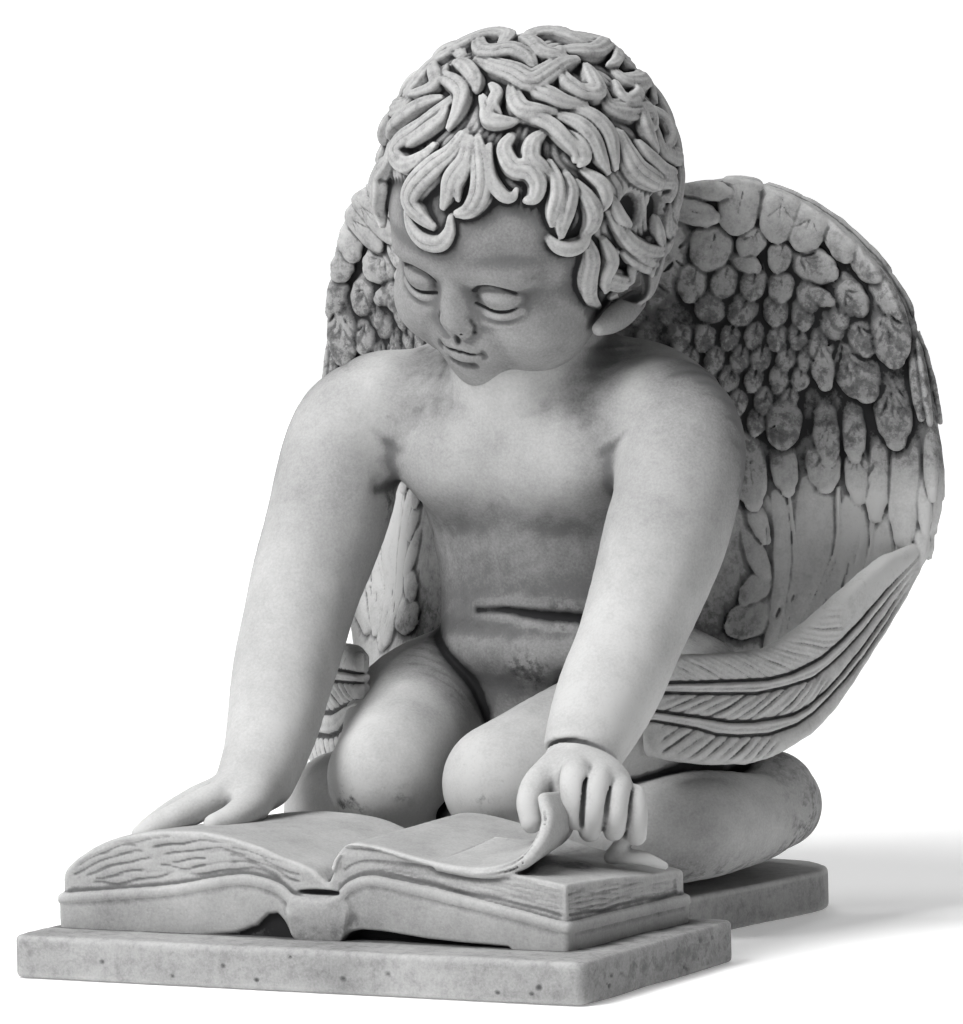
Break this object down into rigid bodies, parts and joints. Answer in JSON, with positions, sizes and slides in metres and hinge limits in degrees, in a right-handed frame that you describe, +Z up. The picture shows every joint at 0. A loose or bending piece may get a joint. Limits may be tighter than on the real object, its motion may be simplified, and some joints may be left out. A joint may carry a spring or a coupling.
{
  "type": "stone cherub statue",
  "caption": "Cast-stone garden statue of a winged child kneeling on a low slab and reading an open book.",
  "frame": {"origin": "middle of the bounding box in X and Y, on the underside of the base slabs", "axes": "+Z up; -Y is the front, where the book lies and the figure looks; +X is the figure's left side"},
  "size_m": [0.305, 0.3398, 0.394],
  "materials": {
    "cast_stone": "pale grey cast stone, fine grained and dry, darker in the hollows"
  },
  "bodies": {
    "root": {"cherub_statue": "cast_stone"}
  },
  "joints": []
}
